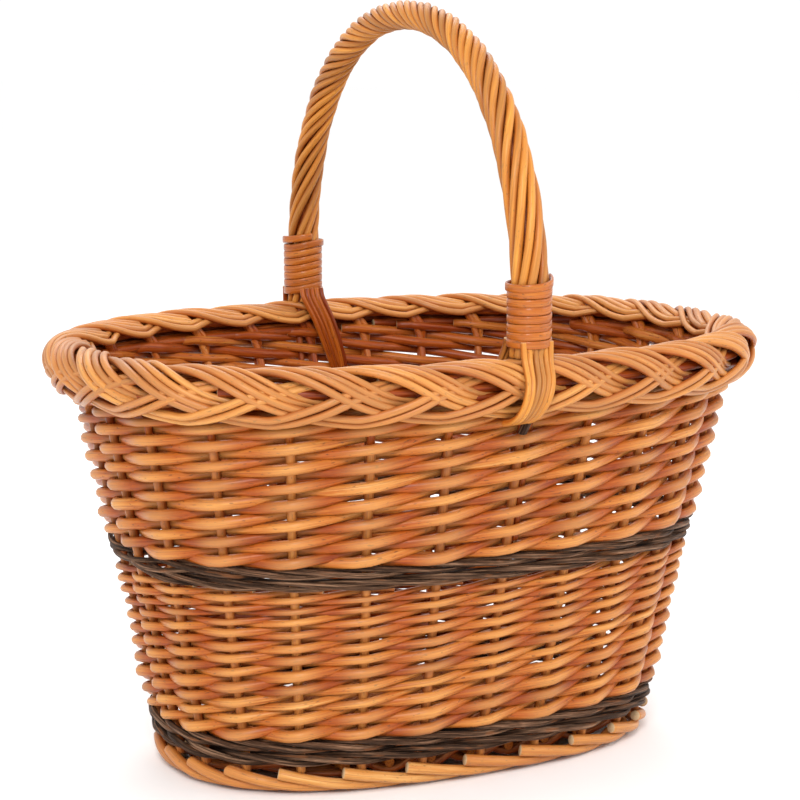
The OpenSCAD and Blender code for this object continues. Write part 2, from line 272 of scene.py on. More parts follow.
class Finish:
    def __init__(self, name):
        self.material = bpy.data.materials.new(name)
        self.material.use_nodes = True
        self.tree = self.material.node_tree
        self.tree.nodes.clear()

    def node(self, kind, settings=None, sockets=None, out=0):
        made = self.tree.nodes.new(kind)
        for key, value in (settings or {}).items():
            if key == "stops":
                for extra in value[2:]:
                    made.color_ramp.elements.new(1.0)
                for element, (place, colour) in zip(made.color_ramp.elements, value):
                    element.position, element.color = place, (*colour, 1)
            else:
                setattr(made, key, value)
        for key, value in (sockets or {}).items():
            if isinstance(value, Wire):
                self.tree.links.new(value.socket, made.inputs[key])
            else:
                made.inputs[key].default_value = value
        return Wire(self, made.outputs[out]) if made.outputs else None

    def stretched(self, vector, scale):
        return self.node("ShaderNodeVectorMath", {"operation": "MULTIPLY"}, {0: vector, 1: scale})

    def noise(self, vector, scale, detail):
        where = self.stretched(vector, scale)
        sockets = {"Vector": where, "Scale": 1.0, "Detail": detail, "Roughness": noiseRoughness}
        return self.node("ShaderNodeTexNoise", {}, sockets)

    def ramp(self, value, stops):
        return self.node("ShaderNodeValToRGB", {"stops": stops}, {"Fac": value})

    def band(self, value, low, high):                  # 0 below low, 1 above high
        sockets = {"Value": value, "From Min": low, "From Max": high}
        return self.node("ShaderNodeMapRange", {"interpolation_type": "SMOOTHSTEP"}, sockets)

    def mixed(self, share, first, second):             # Mix node's sockets 6 and 7 are its colours
        sockets = {0: share, 6: self.colour(first), 7: self.colour(second)}
        return self.node("ShaderNodeMix", {"data_type": "RGBA"}, sockets, out=2)

    def multiplied(self, share, colour, by):
        settings = {"data_type": "RGBA", "blend_type": "MULTIPLY"}
        return self.node("ShaderNodeMix", settings, {0: share, 6: colour, 7: (*by, 1)}, out=2)

    def colour(self, value):
        return value if isinstance(value, Wire) else (*value, 1)

    def attribute(self, name, out):
        return self.node("ShaderNodeAttribute", {"attribute_name": name}, {}, out=out)

    def done(self, colour, roughness, normal, coat, coatRoughness, specular):
        sockets = {"Base Color": colour, "Roughness": roughness, "Normal": normal, "Coat Weight": coat,
                   "Coat Roughness": coatRoughness, "Specular IOR Level": specular}
        shader = self.node("ShaderNodeBsdfPrincipled", {}, sockets)
        self.node("ShaderNodeOutputMaterial", {}, {"Surface": shader})
        return self.material


buffLook = {
    "stops": [(0.0, (0.22, 0.030, 0.002)), (0.33, (0.42, 0.092, 0.008)),
              (0.66, (0.57, 0.200, 0.030)), (1.0, (0.76, 0.44, 0.150))],
    "shade": (0.58, 0.24, 0.06),      # painted shade: what the hidden sides are multiplied by
    "shadeShare": 0.30,
    "tintShare": 0.50,                # how much whole rods differ
    "streakShare": 1.00,              # how much streaks along a rod differ
    "blotchShare": 0.35,
    "lift": -0.13,                    # moves everything along the colour stops
    "wearAndHighlight": 0.34,                     # painted highlight, partly real wear: lightening where a rod stands proud
    "fineShare": 0.40,
    "speck": (0.16, 0.045, 0.012),
    "speckShare": 0.80,
    "speckFrom": (0.655, 0.72),       # the noise at which specks start and are full
    "crack": (0.34, 0.085, 0.012),    # thin dark lines along a rod
    "crackShare": 0.75,
    "crackFrom": (0.455, 0.375),
    "cut": (0.70, 0.47, 0.25),        # the wood of cut ends
    "cutRings": 0.62,                 # and its rings, as a share of it
    "streakScale": (0.030, 0.75, 0.75),      # scales are for each millimetre, along a rod first
    "blotchScale": (0.012, 0.10, 0.10),
    "fineScale": (0.12, 2.4, 2.4),
    "speckScale": (0.28, 0.95, 0.95),
    "crackScale": (0.016, 1.15, 1.15),
    "ringScale": (0.3, 0.9, 0.9),
    "wrinkleScale": (0.10, 1.5, 1.5),
    "wrinkleFrom": (0.35, 0.65),
    "roughness": 0.36,
    "roughnessShare": 0.22,
    "cutRoughness": 0.3,              # added on cut ends
    "bump": 0.45,
    "bumpDepth": 0.0006,              # metres
    "streakHeight": 0.5,              # heights are shares of that depth
    "fineHeight": 0.35,
    "speckHeight": -0.3,
    "crackHeight": -0.4,
    "wrinkleHeight": 0.0,
    "coat": 0.08,
    "coatRoughness": 0.25,
    "specular": 0.24,
}
thickLook = dict(buffLook, lift=0.0, cut=(0.72, 0.50, 0.28), coat=0.05)
borderLook = dict(buffLook, lift=-0.21, tintShare=0.62)
handleLook = dict(
    buffLook,
    stops=[(0.0, (0.20, 0.026, 0.001)), (0.33, (0.42, 0.096, 0.006)),
           (0.66, (0.60, 0.212, 0.021)), (1.0, (0.80, 0.43, 0.100))],
    lift=-0.24, tintShare=0.55, streakShare=1.20, coat=0.05,
)
skeinLook = dict(handleLook, lift=-0.20, tintShare=0.30, streakShare=0.90, coat=0.30,
                 coatRoughness=0.16, roughness=0.28, wearAndHighlight=0.05)
barkLook = dict(
    buffLook,
    stops=[(0.0, (0.008, 0.0030, 0.0012)), (0.35, (0.035, 0.014, 0.006)),
           (0.68, (0.150, 0.074, 0.040)), (1.0, (0.360, 0.200, 0.115))],
    # shade is the bark's painted shade colour
    shade=(0.35, 0.28, 0.22), specular=0.13, crack=(0.010, 0.004, 0.002), crackShare=0.8,
    tintShare=0.35, streakShare=2.80, blotchShare=1.20, lift=-0.06, wearAndHighlight=0.08,
    speck=(0.30, 0.10, 0.03), speckShare=0.55, speckFrom=(0.60, 0.72),
    speckScale=(0.060, 0.30, 0.30), cut=(0.45, 0.28, 0.14),
    roughness=0.55, roughnessShare=0.25, bump=0.9, bumpDepth=0.0009,
    wrinkleHeight=1.0, coat=0.0,
)
stickTintScale = (0.0, 0.03, 0.0)


def willow(name, look, onRods=True):
    finish = Finish(name)
    if onRods:
        grain = finish.attribute("grain", "Vector")
        tint, proud, cut = (finish.attribute(kind, "Fac") for kind in ("tint", "proud", "cut"))
    else:                             # a stick that keeps its CAD mesh, with its grain along Y
        place = finish.node("ShaderNodeTexCoord", {}, {}, out="Object")
        turned = finish.node("ShaderNodeMapping", {}, {"Vector": place, "Rotation": (0, 0, -math.pi / 2)})
        grain = finish.stretched(turned, (1 / mm, 1 / mm, 1 / mm))
        tint = finish.noise(grain, stickTintScale, detail=0.0)
        cut = 0.0
    streaks = finish.noise(grain, look["streakScale"], detail=4.0)
    blotches = finish.noise(grain, look["blotchScale"], detail=2.0)
    dots = finish.noise(grain, look["speckScale"], detail=1.0)
    fine = finish.noise(grain, look["fineScale"], detail=3.0)
    lines = finish.noise(grain, look["crackScale"], detail=3.0)
    cracks = finish.band(lines, *look["crackFrom"]) * look["crackShare"]
    specks = finish.band(dots, *look["speckFrom"]) * look["speckShare"]
    middle = 0.5 - 0.5 * (look["tintShare"] + look["streakShare"] + look["blotchShare"]) + look["lift"]
    value = tint * look["tintShare"] + streaks * look["streakShare"] + blotches * look["blotchShare"]
    spread = (value + (fine - 0.5) * look["fineShare"] + middle).clamped()
    colour = finish.ramp(spread, look["stops"])
    colour = finish.mixed(cracks, colour, look["crack"])
    colour = finish.mixed(specks, colour, look["speck"])
    if onRods:
        # painted highlight, partly real wear: proud places are mixed towards the palest stop
        highlightColour = look["stops"][-1][1]
        colour = finish.mixed(proud * look["wearAndHighlight"], colour, highlightColour)
        # painted shade: places that are not proud are multiplied towards the shade colour
        colour = finish.multiplied((1 - proud) * look["shadeShare"], colour, look["shade"])
        rings = finish.noise(grain, look["ringScale"], detail=2.0)
        endGrain = finish.mixed(rings, look["cut"], tuple(look["cutRings"] * c for c in look["cut"]))
        colour = finish.mixed(cut, colour, endGrain)
    roughness = (streaks - 0.5) * look["roughnessShare"] + look["roughness"] + cut * look["cutRoughness"]
    height = streaks * look["streakHeight"] + fine * look["fineHeight"]
    height = height + specks * look["speckHeight"] + cracks * look["crackHeight"]
    if look["wrinkleHeight"]:
        wrinkles = finish.noise(grain, look["wrinkleScale"], detail=2.0)
        height = height + finish.band(wrinkles, *look["wrinkleFrom"]) * look["wrinkleHeight"]
    bump = {"Strength": look["bump"], "Distance": look["bumpDepth"], "Height": height}
    normal = finish.node("ShaderNodeBump", {}, bump)
    return finish.done(colour, roughness, normal, look["coat"], look["coatRoughness"], look["specular"])


buffWillow = willow("buffWillow", buffLook)
borderWillow = willow("borderWillow", borderLook)
thickWillow = willow("thickWillow", thickLook)
stickWillow = willow("stickWillow", thickLook, onRods=False)
handleWillow = willow("handleWillow", handleLook)
skeinWillow = willow("skeinWillow", skeinLook)
barkWillow = willow("barkWillow", barkLook)
print("finishes made")


# camera and light

camera = {
    "place": (-0.7010, -1.3391, 0.4604),     # metres
    "target": (-0.0034, 0.0020, 0.2172),
    "lens": 110.2,
    "sensor": 36.0,
    "clip": (0.05, 60),
}


def addCamera():
    data = bpy.data.cameras.new("camera")
    data.lens, data.sensor_width = camera["lens"], camera["sensor"]
    data.clip_start, data.clip_end = camera["clip"]
    eye = bpy.data.objects.new("camera", data)
    eye.location = camera["place"]
    gaze = Vector(camera["target"]) - Vector(camera["place"])
    eye.rotation_euler = gaze.to_track_quat("-Z", "Y").to_euler()
    bpy.context.scene.collection.objects.link(eye)
    bpy.context.scene.camera = eye


lights = {                                   # place in metres, width in metres, watts
    "keyLight": ((-1.2, -1.9, 1.65), 0.9, 35),
    "fillLight": ((1.8, -1.2, 1.2), 1.4, 12),
    "rimLight": ((0.5, 1.2, 1.7), 1.4, 13),
}
lightAim = (0, 0, 0.2)
skyStrength = 1.06


def addLights():
    for name, (place, width, watts) in lights.items():
        data = bpy.data.lights.new(name, "AREA")
        data.energy, data.size, data.shape = watts, width, "DISK"
        lamp = bpy.data.objects.new(name, data)
        lamp.location = place
        aim = Vector(lightAim) - Vector(place)
        lamp.rotation_euler = aim.to_track_quat("-Z", "Y").to_euler()
        bpy.context.scene.collection.objects.link(lamp)
    world = bpy.data.worlds.new("paleStudio")
    world.use_nodes = True
    back = world.node_tree.nodes["Background"]
    back.inputs["Color"].default_value = (1, 1, 1, 1)
    back.inputs["Strength"].default_value = skyStrength
    bpy.context.scene.world = world


studioFloor = {                              # metres
    "radius": 14,
    "corners": 96,
    "drop": 0.0002,                          # below height 0, on which the basket stands
    "stops": [(0.0, (0.93, 0.93, 0.93)), (1.0, (0.96, 0.96, 0.96))],
    "cloudScale": (1.5, 1.5, 1.5),
    "grainScale": (260.0, 260.0, 260.0),
    "roughness": 0.8,
    "roughnessShare": 0.1,
    "bump": {"Strength": 0.05, "Distance": 0.0002},
    "coatRoughness": 0.3,
    "specular": 0.5,
}


def addFloor():
    finish = Finish("paleFloor")
    place = finish.node("ShaderNodeTexCoord", {}, {}, out="Object")
    cloud = finish.noise(place, studioFloor["cloudScale"], detail=2.0)
    colour = finish.ramp(cloud, studioFloor["stops"])
    roughness = cloud * studioFloor["roughnessShare"] + studioFloor["roughness"]
    height = finish.noise(place, studioFloor["grainScale"], detail=2.0)
    normal = finish.node("ShaderNodeBump", {}, dict(studioFloor["bump"], Height=height))
    paper = finish.done(colour, roughness, normal, 0.0, studioFloor["coatRoughness"], studioFloor["specular"])
    bpy.ops.mesh.primitive_circle_add(vertices=studioFloor["corners"], radius=studioFloor["radius"],
                                      fill_type="NGON", location=(0, 0, -studioFloor["drop"]))
    floor = bpy.context.object
    floor.name = "floor"
    floor.data.materials.append(paper)


addCamera()
addLights()
addFloor()
bpy.context.scene.view_settings.view_transform = "Standard"
print("camera, lights and floor placed")


# weaving below and above the middle band: a rod starts at each stake and climbs half a round's height
# at every bay

lowerWeave = {
    "rounds": 11,
    "low": 35.5,
    "high": 129.0,
    "taper": 0.25,                   # rounds close up towards the rods' tips by this share
    "thickness": 0.62,               # share of a round's height
    "sides": 10,
    "perBay": 10,
    "pieces": 4,
}
upperWeave = dict(lowerWeave, rounds=9, low=144.5, high=246.0, taper=0.03, thickness=0.60)
weaveShape = {
    "kink": 0.85,                    # share of straightness between stakes
    "bite": 0.15,                    # how far a rod presses into a stake
    "startTuck": 0.8,                # bays
    "endTuck": 0.4,
    "endHold": 0.3,                  # bays at each end that climb no further
    "uneven": 0.09,                  # how much whole rods differ in thickness
    "radiusDrift": (0.02, 1.1),      # drifts are a size and a pace
    "offDrift": (0.30, 0.9),
    "riseDrift": (0.6, 0.7),
}


def weaveRod(spec, stake):
    bays = 2 * spec["rounds"]
    start, end = -weaveShape["startTuck"], bays - 1 + weaveShape["endTuck"]
    u = np.linspace(start, end, int((end - start) * spec["perBay"]))
    hold = weaveShape["endHold"] / bays
    v = np.clip((u + 0.5) / bays, hold, 1 - hold)
    taper = spec["taper"]
    rise = spec["high"] - spec["low"]
    z = spec["low"] + rise * v * (1 + taper - taper * v)
    pitch = 2 * rise / bays * (1 + taper - 2 * taper * v)
    thick = 1 + rng.normal(0, weaveShape["uneven"])
    radius = 0.5 * spec["thickness"] * pitch * thick * (1 + drift(u, *weaveShape["radiusDrift"]))
    triangle = 1 - 2 * np.abs((u + 1) % 2 - 1)
    kink = weaveShape["kink"]
    wave = (1 - kink) * np.cos(math.pi * u) + kink * triangle        # 1 outside its stake, -1 inside
    off = (wall["stakeRadius"] + radius - weaveShape["bite"]) * wave + drift(u, *weaveShape["offDrift"])
    z = z + drift(u, *weaveShape["riseDrift"])
    # the last value is the proud mask for painted highlight and painted shade: 1 where the rod crosses a
    # stake, 0 halfway between stakes
    return wallPoints(stake + u, z, off), outward(stake + u, z), radius, smooth(np.abs(wave))


def weave(spec, name, nodePrefix):
    nodes = sorted(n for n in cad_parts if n.startswith(nodePrefix))
    for g in range(spec["pieces"]):
        bundle = Bundle(f"{name}_{g + 1}", spec["sides"])
        for stake in range(g, wall["stakes"], spec["pieces"]):
            path, refs, radius, proud = weaveRod(spec, stake)
            bundle.rod(path, refs, radius, proud=proud)
        bundle.piece(buffWillow, "buff_willow", *nodes[g::spec["pieces"]])


weave(lowerWeave, "lowerWeave", "lower_weave")
weave(upperWeave, "upperWeave", "upper_weave")
print("weaving done")


# the dark bands: three strands wound together, each before two stakes and behind one, twice round

bands = {
    "lowerBand": {"low": 18.0, "high": 35.5, "seam": 0, "node": "lower_band_strand"},
    "middleBand": {"low": 129.0, "high": 144.5, "seam": 12, "node": "middle_band_strand"},
}
bandShape = {
    "strands": 3,
    "cadStrands": 4,                             # each strand here replaces its share of them
    "rows": 2,
    "start": -0.5,                               # bays from the strand's first stake
    "endGap": 0.65,                              # bays left open after the last row
    "fill": 0.90,                                # rod thickness as a share of its room
    "bite": 0.1,
    "riseKeys": (0, 0.5, 0.5, 0, -0.5, -0.5),    # at every half bay, in rod thicknesses
    "offKeys": (-1, 0, 1, 1.1, 1, 0),            # at every half bay, in swings
    "stepBays": 1.6,
    "radiusDrift": (0.04, 0.8),
    "riseDrift": (0.18, 0.9),
    "offDrift": (0.2, 1.2),
    "perBay": 9,
    "sides": 10,
}


def bandStrand(spec, strand):
    turnBays = wall["stakes"]
    end = bandShape["rows"] * turnBays - bandShape["endGap"]
    u = np.arange(bandShape["start"], end, 1 / bandShape["perBay"])
    thick = (spec["high"] - spec["low"]) / (2 * bandShape["rows"])
    radius = 0.5 * thick * bandShape["fill"] * (1 + drift(u, *bandShape["radiusDrift"]))
    rowUp = smooth((u - turnBays + 1) / bandShape["stepBays"])
    z = spec["low"] + thick * (1 + 2 * rowUp) + thick * aroundKeys(bandShape["riseKeys"], 2 * u)
    z = z + drift(u, *bandShape["riseDrift"])
    swing = wall["stakeRadius"] + radius - bandShape["bite"]
    off = swing * aroundKeys(bandShape["offKeys"], 2 * u) + drift(u, *bandShape["offDrift"])
    i = spec["seam"] + strand + u
    # the last value is the proud mask: painted highlight where the strand passes outside a stake, painted
    # shade where it passes behind
    return wallPoints(i, z, off), outward(i, z), radius, smooth(off / swing)


for name, spec in bands.items():
    nodes = [f"{spec['node']}_{k + 1}" for k in range(bandShape["cadStrands"])]
    for strand in range(bandShape["strands"]):
        bundle = Bundle(f"{name}_{strand + 1}", bandShape["sides"])
        path, refs, radius, proud = bandStrand(spec, strand)
        bundle.rod(path, refs, radius, proud=proud)
        bundle.piece(barkWillow, "unpeeled_willow", *nodes[strand::bandShape["strands"]])
print("dark bands done")


# stakes

stakes = {
    "low": 13.5,
    "high": 217.0,
    "footSwell": 0.08,               # how much thicker a stake is at its foot
    # painted light: how much painted highlight the stakes get, and how little painted shade
    "proud": 0.75,
    "sideDrift": (0.008, 0.03),      # in stake spaces
    "radiusDrift": (0.03, 0.05),
    "offDrift": (0.35, 0.05),
    "points": 60,
    "sides": 10,
}


def addStakes():
    bundle = Bundle("sideStakes", stakes["sides"])
    for stake in range(wall["stakes"]):
        z = np.linspace(stakes["low"], stakes["high"], stakes["points"])
        i = np.full(len(z), float(stake)) + drift(z, *stakes["sideDrift"])
        radius = wall["stakeRadius"] * (1 + drift(z, *stakes["radiusDrift"]))
        radius = radius * (1 + stakes["footSwell"] * (1 - z / wall["rimZ"]))
        path = wallPoints(i, z, drift(z, *stakes["offDrift"]))
        bundle.rod(path, outward(i, z), radius, proud=stakes["proud"])
    bundle.piece(buffWillow, "buff_willow", "side_stakes")


addStakes()
print("stakes done")


# the plaited border: pairs of rods wound over the rim in waves, with a new pair at every bay

border = {
    "centreOff": 1.5,
    "centreZ": 243.5,
    "round": 15.3,                   # radius of the rim's roll under the rods
    "straight": 0.35,                # share of straightness in the rods' way down and up
    "swing": 82.0,                   # degrees each way from the outer upper diagonal
    "lift": 3.5,                     # each way, where groups cross
    "bays": 5.0,                     # length of one full wave
    "start": 0.3,                    # bays after its stake
    "end": 1.42,                     # waves
    "tuckLength": 0.12,              # waves over which a rod's end dips into the plait
    "tuckDepth": 5.0,
    "rodRadius": 2.35,
    "thickStart": 1.04,              # of that radius, less thinning for each wave
    "thinning": 0.12,
    "uneven": 0.04,
    "newDown": -4.15,                # middle of a pair across its group, on its first way down
    "oldDown": 4.15,                 # and on its second
    "toUp": (0.40, 0.2),             # wave where a pair leaves the one, and over how long
    "toOld": (0.9, 0.2),             # and where it takes to the other
    "pairGap": 2.3,
    "acrossDrift": (0.45, 5.0),
    "liftDrift": (0.35, 6.0),
    "radiusDrift": (0.02, 9),
    "tints": (0.1, 1),
    "tintJitter": 0.12,
    "sides": 10,
    "points": 116,
    "pieces": 4,
}
borderLeads = {                      # bays, share of the pair's gap, height, off
    "own": [(0, 0, 214, 0), (0, 0, 226, 0), (0, 0.6, 236, -1.0), (0.05, 1, 245, -4.0)],
    "pushedIn": [(0, 0, 205, -4.6), (0, 0, 224, -4.6), (0, 0.6, 236, -3.5), (0.05, 1, 245, -4.0)],
    "points": 22,
}
borderCore = {
    "places": [(0.0, 253.5), (5.5, 255.2), (9.8, 249.0), (9.8, 243.0), (3.5, 246.0), (-2.0, 245.0)],
    "starts": (0.0, 13.0),           # stakes, give or take the slip
    "slip": 6,
    "bays": 13.6,
    "radius": 3.0,
    "palest": 0.6,
    "riseDrift": (0.6, 0.9),
    "offDrift": (0.6, 0.8),
    "points": 150,
}


def plaitHeight(s):                  # 1 at the top of a wave, -1 at its foot, partly straight between
    slope = 2 * np.abs(2 * (s % 1) - 1) - 1
    return border["straight"] * slope + (1 - border["straight"]) * np.cos(fullTurn * s)


def plaitLift(s):                    # over the other groups going down, but under them near the foot
    change = np.tanh(3 * (np.cos(fullTurn * s) + 0.35))
    return border["lift"] * np.sin(fullTurn * s) * change


def borderPlace(i, s, across):
    # unrolled, the plait's face has the bays along it and the roll's arc over it
    theta = np.radians(border["swing"]) * plaitHeight(s)
    alongStep = border["bays"] * bayLength
    arcStep = border["round"] * np.gradient(theta, s)
    length = np.hypot(alongStep, arcStep)
    bay = i + border["start"] + border["bays"] * s - across * arcStep / length / bayLength
    theta = theta + across * alongStep / length / border["round"]
    return bay, theta


def borderRod(stake, side):
    s = np.linspace(0, border["end"], border["points"])
    toUp, toOld = (smooth((s - start) / length) for start, length in (border["toUp"], border["toOld"]))
    middle = border["newDown"] * (1 - toUp) + border["oldDown"] * toOld
    across = middle + side * border["pairGap"] + drift(s, *border["acrossDrift"])
    bay, theta = borderPlace(stake, s, across)
    lift = plaitLift(s) + drift(s, *border["liftDrift"])
    tuck = smooth((s - border["end"]) / border["tuckLength"] + 1) * border["tuckDepth"]
    radius = border["rodRadius"] * (border["thickStart"] - border["thinning"] * s)
    radius = radius * (1 + rng.normal(0, border["uneven"])) * (1 + drift(s, *border["radiusDrift"]))
    reach = border["round"] + lift - tuck
    angle = math.pi / 4 + theta
    off, z = border["centreOff"] + reach * np.cos(angle), border["centreZ"] + reach * np.sin(angle)
    path = wallPoints(bay, z, off)
    out = outward(bay, z)
    refs = out * np.cos(angle)[:, None] + upward * np.sin(angle)[:, None]
    return path, refs, radius


def borderLead(stake, side, joined, joinedRef):
    # from inside the weaving up to the plait: the stake's own end, or a rod pushed in behind it
    places = borderLeads["own" if side < 0 else "pushedIn"]
    bays, spread, z, off = (np.array(v, float) for v in zip(*places))
    i = stake + bays + spread * side * border["pairGap"] / bayLength
    stations = np.vstack([wallPoints(i, z, off), joined[0], joined[2]])
    meeting = len(places) / (len(places) + 1)        # the share of the line at which the plait starts
    share = np.linspace(0, meeting, borderLeads["points"])
    path = through(stations, share)
    lead = outward(np.full(len(path), float(stake)), path[:, 2])
    blendIn = smooth(share / meeting)[:, None]
    return path[:-1], unit(lead * (1 - blendIn) + joinedRef[0] * blendIn)[:-1]


def addBorder():
    for g in range(border["pieces"]):
        bundle = Bundle(f"plaitedBorder_{g + 1}", border["sides"])
        for stake in range(g, wall["stakes"], border["pieces"]):
            tint = rng.uniform(*border["tints"])
            for side in (-1, 1):
                path, refs, radius = borderRod(stake, side)
                leadPath, leadRefs = borderLead(stake, side, path, refs)
                whole = np.vstack([leadPath, path])
                radii = np.concatenate([np.full(len(leadPath), radius[0]), radius])
                # painted light: the leads inside the weaving get painted shade in full, the plait gets the
                # proud mask's painted highlight
                proud = np.concatenate([np.full(len(leadPath), 0.0), np.full(len(path), 1.0)])
                shade = float(np.clip(tint + rng.normal(0, border["tintJitter"]), 0, 1))
                bundle.rod(whole, np.vstack([leadRefs, refs]), radii, tint=shade, proud=proud)
        bundle.piece(borderWillow, "buff_willow", "plaited_border")


def addBorderCore():                 # tips that run on inside the plait
    bundle = Bundle("borderCore", border["sides"])
    for off, z in borderCore["places"]:
        for start in borderCore["starts"]:
            slip = rng.uniform(0, borderCore["slip"])
            i = start + slip + np.linspace(0, borderCore["bays"], borderCore["points"])
            height = z + drift(i, *borderCore["riseDrift"])
            path = wallPoints(i, height, off + drift(i, *borderCore["offDrift"]))
            tint = rng.uniform(0, borderCore["palest"])
            # proud 0: the core tips get painted shade in full
            bundle.rod(path, outward(i, height), borderCore["radius"], tint=tint, proud=0.0)
    bundle.piece(borderWillow, "buff_willow", "plaited_border")


addBorder()
addBorderCore()
print("border done")


# the foot: thick rods with cut butts rolled under one another

foot = {
    "places": [(0.66, 13.0, 4.6), (1.15, 9.6, 5.2), (1.66, 6.0, 4.2), (2.2, 4.2, 1.6),
               (2.66, 3.4, -1.6), (3.15, 4.6, -6.0)],    # bays, height, off
    "buttRadius": 3.6,
    "tipRadius": 2.6,
    "shuffle": 0.03,                 # bays
    "uneven": 0.03,
    "radiusDrift": (0.02, 9),
    "riseDrift": (0.2, 5.0),
    "clearance": 0.05,               # above the floor
    "leans": (-0.5, 0.1),            # of the cut butts
    # painted light: how much painted highlight the foot rods get, the rest painted shade
    "proud": 0.8,
    "sides": 14,
    "points": 44,
}


def addFoot():
    bundle = Bundle("footBorder", foot["sides"])
    share = np.linspace(0, 1, foot["points"])
    for stake in range(wall["stakes"]):
        places = through(foot["places"], share)
        i, z, off = stake + places[:, 0], places[:, 1], places[:, 2]
        i = i + rng.normal(0, foot["shuffle"])
        radius = foot["buttRadius"] + (foot["tipRadius"] - foot["buttRadius"]) * share
        radius = radius * (1 + rng.normal(0, foot["uneven"])) * (1 + drift(share, *foot["radiusDrift"]))
        z = np.maximum(z + drift(share, *foot["riseDrift"]), radius + foot["clearance"])
        lean = rng.uniform(*foot["leans"])
        bundle.rod(wallPoints(i, z, off), outward(i, z), radius, slant=(lean, 0), proud=foot["proud"])
    bundle.piece(thickWillow, "thick_willow", "foot_border")


addFoot()
print("foot done")


# the base: long sticks through slotted cross sticks, paired round with thin rods

base = {
    "z": 13.0,
    "half": (147.7, 84.9),
    "stickRadius": 3.0,
    "longSticks": (-9.0, 0.0, 9.0),              # their places across the basket
    "crossSticks": 7,
    "crossGap": 2 * (147.7 - 84.9) / 6 + 6,      # from one of the CAD's cross sticks to the next
    "bendDrift": (0.3, 0.02),                    # of the long sticks
    "radiusDrift": (0.03, 0.05),
    # painted light: how much painted highlight the long sticks get, the rest painted shade
    "stickProud": 0.4,
    "stickPoints": 80,
    "stickSides": 14,
    "rounds": 18,
    "inset": -1.6,                               # from the sticks' ends in to the first round
    "pitch": 4.15,
    "rodRadius": 1.95,
    "thickStart": 1.08,                          # of that radius, less thinning towards the tip
    "thinning": 0.16,
    "bite": 0.3,                                 # how far a rod presses into a stick
    "twist": 1.1,                                # how far the two strands pass each other sideways
    "riseDrift": (0.15, 9),
    "rodsInTurn": 8,                             # they follow one another round the base
    "overlap": 6,                                # points
    # painted light: how much painted highlight the base weave gets, the rest painted shade
    "proud": 0.5,
    "perRound": 200,
    "sides": 8,
}


def reach(half, other, distance):    # half the length of a stick that is this far from the middle
    n = wall["squareness"]
    return half * (1 - (abs(distance) / other) ** n) ** (1 / n)


def addLongSticks():
    bundle = Bundle("baseLongSticks", base["stickSides"])
    for y in base["longSticks"]:
        end = reach(*base["half"], y)
        x = np.linspace(-end, end, base["stickPoints"])
        path = np.stack([x, y + drift(x, *base["bendDrift"]), np.full(len(x), base["z"])], -1)
        radius = base["stickRadius"] * (1 + drift(x, *base["radiusDrift"]))
        bundle.rod(path, upward, radius, proud=base["stickProud"])
    bundle.piece(thickWillow, "thick_willow", "base_long_sticks")


def stickAngles():
    # angles at which one round crosses the sticks, anticlockwise from the right-hand end
    half = base["half"]
    power = wall["squareness"] / 2
    right = [math.degrees(math.asin(np.sign(y) * (abs(y) / half[1]) ** power)) for y in base["longSticks"]]
    places = [(k - (base["crossSticks"] - 1) / 2) * base["crossGap"] for k in range(base["crossSticks"])]
    far = [math.degrees(math.acos(np.sign(x) * (abs(x) / half[0]) ** power)) for x in places[::-1]]
    left = [180 + a for a in right]
    near = [360 - a for a in far[::-1]]
    return right + far + left + near


def addBaseWeave():
    angles = stickAngles()
    count = len(angles)
    keys = np.array(angles + [angles[0] + 360])
    turns = np.linspace(0, base["rounds"], base["rounds"] * base["perRound"])
    degrees = turns * 360
    within = (degrees - keys[0]) % 360 + keys[0]
    crossing = np.interp(within, keys, np.arange(count + 1))
    for strand, node in ((0, "base_weave_over"), (1, "base_weave_under")):
        bundle = Bundle("baseWeaveOver" if strand == 0 else "baseWeaveUnder", base["sides"])
        phase = math.pi * (crossing + strand)
        inset = base["inset"] + base["pitch"] * turns + base["twist"] * np.sin(phase)
        spots = np.stack([oval(np.subtract(base["half"], d), a) for d, a in zip(inset, degrees)])
        swing = base["stickRadius"] + base["rodRadius"] - base["bite"]
        z = base["z"] + swing * np.cos(phase) + drift(turns, *base["riseDrift"])
        path = np.column_stack([spots, z])
        step = len(turns) // base["rodsInTurn"]
        for start in range(0, len(turns) - 1, step):
            rod = path[start:start + step + base["overlap"]]
            share = np.linspace(0, 1, len(rod))
            radius = base["rodRadius"] * (base["thickStart"] - base["thinning"] * share)
            bundle.rod(rod, upward, radius, proud=base["proud"])
        bundle.piece(buffWillow, "buff_willow", node)


addLongSticks()
addBaseWeave()
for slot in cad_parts["base_cross_sticks"].material_slots:
    slot.material = stickWillow
print("base done")


# the handle: a thick bow with rods roped round it, always to the right going up

